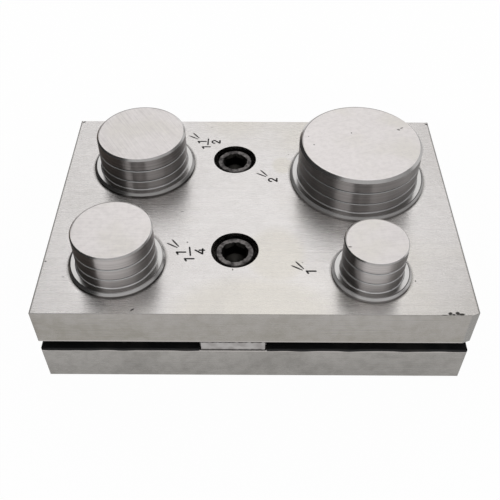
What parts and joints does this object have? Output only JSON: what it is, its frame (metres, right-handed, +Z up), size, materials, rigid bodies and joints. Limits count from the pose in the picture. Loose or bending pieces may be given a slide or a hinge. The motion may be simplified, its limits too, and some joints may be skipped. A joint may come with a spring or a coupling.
{
  "type": "disc cutter",
  "caption": "Disc cutter for sheet metal: stacked steel plates with a slot between them, collared punches of stepped sizes in guide bores, and sunk socket head clamp screws.",
  "frame": {"origin": "centre of the underside of the die plate", "axes": "+X along the length to the right, +Y to the back, +Z up; the front is the face at -Y, with the one inch punch at its right"},
  "size_m": [0.1524, 0.1076, 0.054],
  "materials": {
    "ground_plate": "surface ground",
    "turned_punch": "fine turned",
    "spacer_steel": "bright drawn",
    "black_oxide": "black oxide",
    "black_rubber": "matte",
    "dowel_steel": "ground"
  },
  "bodies": {
    "frame": {"guide_plate": "ground_plate", "die_plate": "ground_plate", "spacer_bar": "spacer_steel", "rubber_liner_left": "black_rubber", "rubber_liner_right": "black_rubber", "dowel_pin_front": "dowel_steel", "dowel_pin_rear": "dowel_steel"},
    "one_inch_punch": {"punch_one_inch": "turned_punch"},
    "inch_and_quarter_punch": {"punch_inch_and_quarter": "turned_punch"},
    "inch_and_half_punch": {"punch_inch_and_half": "turned_punch"},
    "two_inch_punch": {"punch_two_inch": "turned_punch"},
    "front_screw": {"clamp_screw_front": "black_oxide"},
    "rear_screw": {"clamp_screw_rear": "black_oxide"}
  },
  "joints": [
    {"name": "one_inch_punch_lift", "type": "slide", "parent": "frame", "child": "one_inch_punch", "axis": [0, 0, 1], "range_m": [0, 0.022]},
    {"name": "inch_and_quarter_punch_lift", "type": "slide", "parent": "frame", "child": "inch_and_quarter_punch", "axis": [0, 0, 1], "range_m": [0, 0.022]},
    {"name": "inch_and_half_punch_lift", "type": "slide", "parent": "frame", "child": "inch_and_half_punch", "axis": [0, 0, 1], "range_m": [0, 0.022]},
    {"name": "two_inch_punch_lift", "type": "slide", "parent": "frame", "child": "two_inch_punch", "axis": [0, 0, 1], "range_m": [0, 0.022]},
    {"name": "front_screw_turn", "type": "hinge", "parent": "frame", "child": "front_screw", "pos_m": [-0.0072, -0.024, 0.03675], "axis": [0, 0, 1], "range_deg": [0, 180]},
    {"name": "rear_screw_turn", "type": "hinge", "parent": "frame", "child": "rear_screw", "pos_m": [-0.00815, 0.0277, 0.03675], "axis": [0, 0, 1], "range_deg": [0, 180]}
  ]
}
